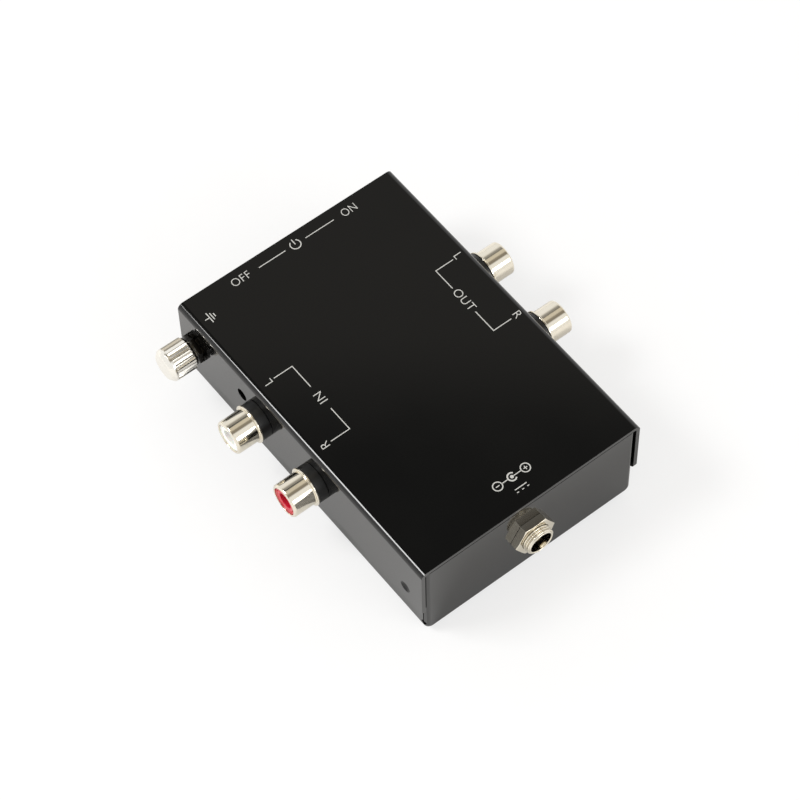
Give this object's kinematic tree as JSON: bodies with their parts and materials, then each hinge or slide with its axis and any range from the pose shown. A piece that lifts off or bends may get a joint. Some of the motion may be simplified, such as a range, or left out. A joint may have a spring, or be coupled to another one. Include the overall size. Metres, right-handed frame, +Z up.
{
  "type": "phono preamp",
  "caption": "Small black steel box with phono input and output sockets on its sides, a knurled ground post, a power inlet in front and a slide switch at the back.",
  "frame": {"origin": "centre of the whole footprint, sockets, inlet and switch lever included, on the surface that the feet stand on", "axes": "+X to the output side, +Y to the power switch at the back, +Z up"},
  "size_m": [0.0778, 0.0946, 0.0266],
  "materials": {
    "black_paint": "gloss black enamel",
    "rubber": "matt",
    "board": "solder mask",
    "bright_nickel": "bright nickel plate",
    "zinc_steel": "bright zinc plate",
    "tinned_metal": "tin plate on brass",
    "black_plastic": "moulded satin",
    "white_plastic": "moulded",
    "red_plastic": "moulded",
    "can_sleeve": "shrink sleeve",
    "film_resin": "dipped resin",
    "resistor_lacquer": "lacquer"
  },
  "bodies": {
    "case": {"amplifier_chips": "black_plastic", "base_tray": "black_paint", "board_screws": "zinc_steel", "board_standoffs": "zinc_steel", "circuit_board": "board", "electrolytic_capacitors": "can_sleeve", "film_capacitors": "film_resin", "ground_inner_nut": "zinc_steel", "ground_lug": "tinned_metal", "ground_stud": "bright_nickel", "ground_thin_nut": "bright_nickel", "ground_toothed_washer": "bright_nickel", "inlet_back": "black_plastic", "inlet_barrel": "bright_nickel", "inlet_nut": "bright_nickel", "inlet_pin": "bright_nickel", "inlet_solder_tabs": "tinned_metal", "input_left_collar": "black_plastic", "input_left_contact": "tinned_metal", "input_left_insert": "white_plastic", "input_left_nut": "zinc_steel", "input_left_shell": "bright_nickel", "input_right_collar": "black_plastic", "input_right_contact": "tinned_metal", "input_right_insert": "red_plastic", "input_right_nut": "zinc_steel", "input_right_shell": "bright_nickel", "output_left_collar": "black_plastic", "output_left_contact": "tinned_metal", "output_left_insert": "white_plastic", "output_left_nut": "zinc_steel", "output_left_shell": "bright_nickel", "output_right_collar": "black_plastic", "output_right_contact": "tinned_metal", "output_right_insert": "red_plastic", "output_right_nut": "zinc_steel", "output_right_shell": "bright_nickel", "resistors": "resistor_lacquer", "rubber_feet": "rubber", "socket_lugs": "tinned_metal", "switch_frame": "zinc_steel", "switch_housing": "black_plastic", "switch_nuts": "zinc_steel", "switch_screws": "zinc_steel", "switch_solder_tabs": "tinned_metal", "top_cover": "black_paint", "voltage_regulator": "black_plastic"},
    "switch_slider": {"switch_lever": "black_plastic", "switch_wiper": "tinned_metal"},
    "ground_follower": {"ground_washer": "bright_nickel"},
    "ground_knob": {"ground_thumb_nut": "bright_nickel"}
  },
  "joints": [
    {"name": "power_switch", "type": "slide", "parent": "case", "child": "switch_slider", "axis": [1, 0, 0], "range_m": [0, 0.003]},
    {"name": "ground_travel", "type": "slide", "parent": "case", "child": "ground_follower", "axis": [-1, 0, 0], "range_m": [-0.00058, 0.0014]},
    {"name": "ground_turn", "type": "hinge", "parent": "ground_follower", "child": "ground_knob", "pos_m": [-0.03235, 0.03793, 0.0174], "axis": [-1, 0, 0], "range_deg": [-300, 720]}
  ],
  "couplings": [
    {"joint": "ground_turn", "follows": "ground_travel", "rad_per_m": 8976}
  ]
}
